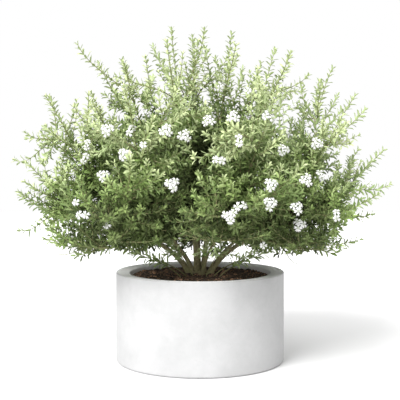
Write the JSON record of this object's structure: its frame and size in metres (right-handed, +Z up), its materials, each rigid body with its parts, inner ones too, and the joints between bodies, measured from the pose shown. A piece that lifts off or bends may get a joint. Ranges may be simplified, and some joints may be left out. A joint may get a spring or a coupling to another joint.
{
  "type": "potted coast rosemary",
  "caption": "Dense rounded flowering shrub with whorled narrow leaves and small white flowers, growing in a low straight-sided round concrete planter with a broad flat rim.",
  "frame": {"origin": "middle of the planter's flat underside, on the surface that it stands on", "axes": "+Z up along the planter's axis; +X along the shrub's widest spread, to the right of someone who faces its front; -Y towards the front"},
  "size_m": [0.8813, 0.8437, 0.7997],
  "materials": {
    "concrete": "matte",
    "soil": "matte",
    "root_bark": "matte",
    "stem_bark": "matte",
    "leaf": "matte",
    "petal": "matte"
  },
  "bodies": {
    "root": {"flower_01": "petal", "flower_02": "petal", "flower_03": "petal", "flower_04": "petal", "flower_05": "petal", "flower_06": "petal", "flower_07": "petal", "flower_08": "petal", "flower_09": "petal", "flower_10": "petal", "flower_11": "petal", "flower_12": "petal", "leafy_branch_01": "leaf", "leafy_branch_02": "leaf", "leafy_branch_03": "leaf", "leafy_branch_04": "leaf", "leafy_branch_05": "leaf", "leafy_branch_06": "leaf", "leafy_branch_07": "leaf", "leafy_branch_08": "leaf", "leafy_branch_09": "leaf", "leafy_branch_10": "leaf", "leafy_branch_11": "leaf", "leafy_branch_12": "leaf", "leafy_branch_13": "leaf", "leafy_branch_14": "leaf", "leafy_branch_15": "leaf", "leafy_branch_16": "leaf", "leafy_branch_17": "leaf", "leafy_branch_18": "leaf", "leafy_branch_19": "leaf", "leafy_branch_20": "leaf", "leafy_branch_21": "leaf", "leafy_branch_22": "leaf", "leafy_branch_23": "leaf", "leafy_branch_24": "leaf", "leafy_branch_25": "leaf", "leafy_branch_26": "leaf", "leafy_branch_27": "leaf", "leafy_branch_28": "leaf", "leafy_branch_29": "leaf", "leafy_branch_30": "leaf", "pot": "concrete", "potting_mix": "soil", "root_crown": "root_bark", "stem_01": "stem_bark", "stem_02": "stem_bark", "stem_03": "stem_bark", "stem_04": "stem_bark", "stem_05": "stem_bark", "stem_06": "stem_bark", "stem_07": "stem_bark", "stem_08": "stem_bark", "stem_09": "stem_bark", "stem_10": "stem_bark"}
  },
  "joints": []
}
